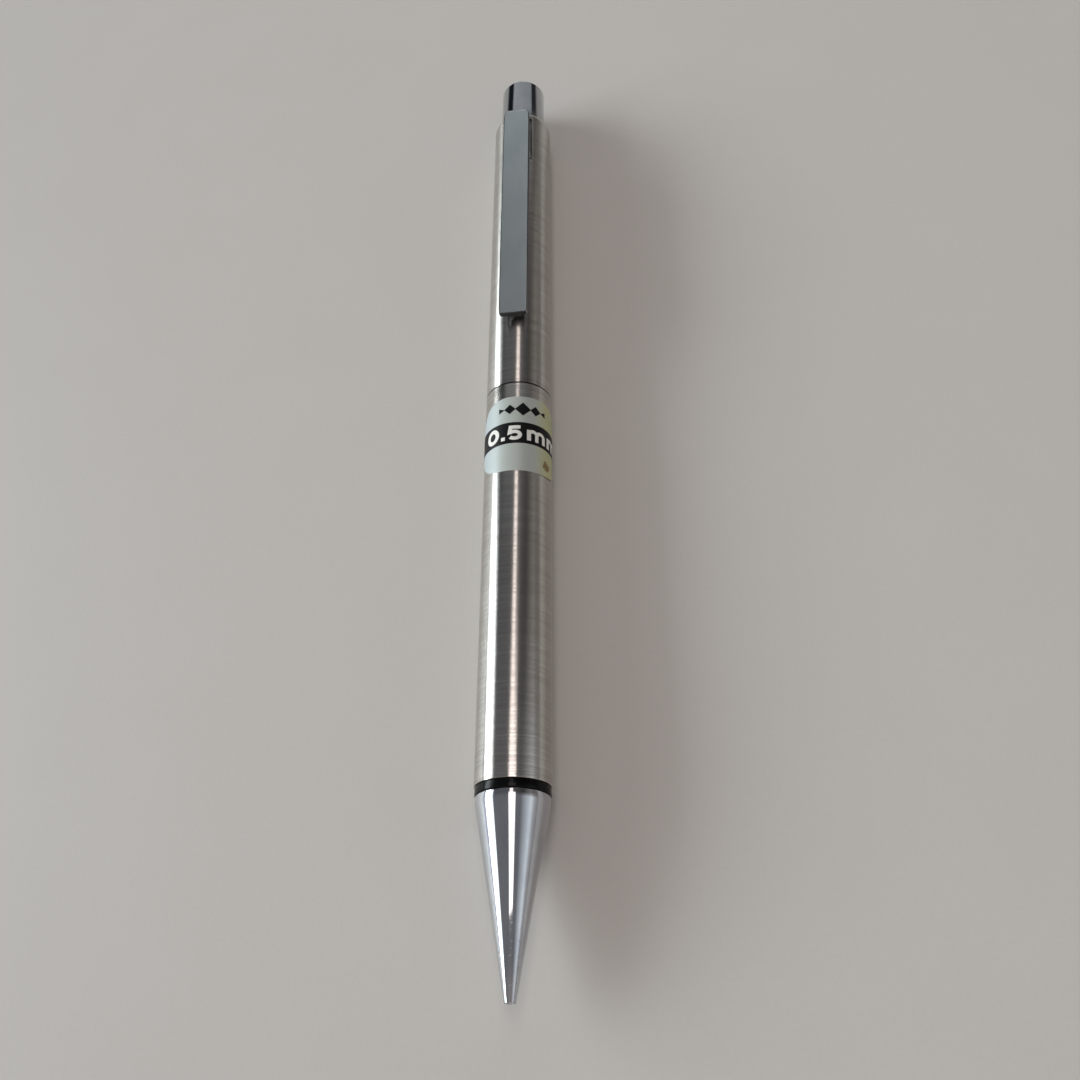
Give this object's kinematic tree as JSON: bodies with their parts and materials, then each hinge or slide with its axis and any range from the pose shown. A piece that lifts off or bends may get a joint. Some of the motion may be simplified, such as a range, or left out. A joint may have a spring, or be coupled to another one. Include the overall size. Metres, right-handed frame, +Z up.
{
  "type": "mechanical pencil",
  "caption": "Slim all-metal push-button mechanical pencil with a long chromed cone, brushed steel barrel, flat pocket clip and cap button over an eraser.",
  "frame": {"origin": "on the surface under the middle of the pencil's length, below the axis", "axes": "+Y along the pencil from the writing tip to the push button, +Z up through the clip, +X to the right seen from the tip"},
  "size_m": [0.0089, 0.1386, 0.0105],
  "materials": {
    "brushed_steel": "stainless steel, brushed round the barrel",
    "polished_chrome": "polished chrome plate on brass",
    "plain_steel": "plain drawn steel",
    "brass": "turned brass",
    "black_plastic": "glossy moulded black",
    "acetal": "moulded natural acetal",
    "black_rubber": "matt",
    "white_eraser": "matt, slightly dusty",
    "graphite": "satin grey-black",
    "label_film": "pearly metallised film, yellowed at one side"
  },
  "bodies": {
    "lower_barrel": {"lower_barrel": "brushed_steel", "barrel_ring": "black_plastic", "front_bush": "brass", "joint_bush": "brass", "mechanism_housing": "brass", "return_spring": "plain_steel", "barrel_label": "label_film"},
    "nose": {"nose_cone": "polished_chrome", "lead_sleeve": "plain_steel", "lead_retainer": "black_rubber"},
    "plunger": {"chuck_stem": "brass", "chuck_coupling": "acetal", "lead_reservoir": "acetal", "spare_leads": "graphite"},
    "jaw_1": {"chuck_jaw_1": "brass"},
    "jaw_2": {"chuck_jaw_2": "brass"},
    "jaw_3": {"chuck_jaw_3": "brass"},
    "clutch": {"clutch_ring": "brass"},
    "lead": {"writing_lead": "graphite"},
    "button": {"push_button": "polished_chrome", "button_bush": "acetal"},
    "eraser": {"eraser": "white_eraser", "eraser_ferrule": "plain_steel", "cleaning_needle": "plain_steel"},
    "upper_barrel": {"upper_barrel": "brushed_steel", "upper_insert": "brass", "clip_wedge": "brass", "clip_foot": "polished_chrome"},
    "clip": {"clip_arm": "polished_chrome"}
  },
  "joints": [
    {"name": "press", "type": "slide", "parent": "lower_barrel", "child": "plunger", "axis": [0, -1, 0], "range_m": [0, 0.003], "stiffness_N_per_m": 900, "springref_m": -0.003, "deforming": ["return_spring"]},
    {"name": "clutch_slide", "type": "slide", "parent": "lower_barrel", "child": "clutch", "axis": [0, -1, 0], "range_m": [0, 0.0009]},
    {"name": "lead_feed", "type": "slide", "parent": "lower_barrel", "child": "lead", "axis": [0, -1, 0], "range_m": [0, 0.0007]},
    {"name": "jaw_1_open", "type": "hinge", "parent": "plunger", "child": "jaw_1", "pos_m": [0, -0.0463, 0.0053], "axis": [-1, 0, 0], "range_deg": [0, 1.65]},
    {"name": "jaw_2_open", "type": "hinge", "parent": "plunger", "child": "jaw_2", "pos_m": [0.00078, -0.0463, 0.00395], "axis": [0.5, 0, 0.866], "range_deg": [0, 1.65]},
    {"name": "jaw_3_open", "type": "hinge", "parent": "plunger", "child": "jaw_3", "pos_m": [-0.00078, -0.0463, 0.00395], "axis": [0.5, 0, -0.866], "range_deg": [0, 1.65]},
    {"name": "button_off", "type": "slide", "parent": "plunger", "child": "button", "axis": [0, 1, 0], "range_m": [0, 0.03]},
    {"name": "eraser_out", "type": "slide", "parent": "plunger", "child": "eraser", "axis": [0, 1, 0], "range_m": [0, 0.0182]},
    {"name": "upper_barrel_off", "type": "slide", "parent": "lower_barrel", "child": "upper_barrel", "axis": [0, 1, 0], "range_m": [0, 0.064]},
    {"name": "nose_off", "type": "slide", "parent": "lower_barrel", "child": "nose", "axis": [0, -1, 0], "range_m": [0, 0.028]},
    {"name": "clip_flex", "type": "hinge", "parent": "upper_barrel", "child": "clip", "pos_m": [0, 0.04983, 0.0102], "axis": [-1, 0, 0], "range_deg": [0, 5], "stiffness_Nm_per_rad": 1.5, "springref_deg": -1.15}
  ],
  "couplings": [
    {"joint": "clutch_slide", "follows": "press", "ratio": 0.27},
    {"joint": "lead_feed", "follows": "press", "ratio": 0.2},
    {"joint": "jaw_1_open", "follows": "press", "rad_per_m": 9.3},
    {"joint": "jaw_2_open", "follows": "press", "rad_per_m": 9.3},
    {"joint": "jaw_3_open", "follows": "press", "rad_per_m": 9.3},
    {"joint": "eraser_out", "follows": "button_off", "ratio": 0.6}
  ]
}
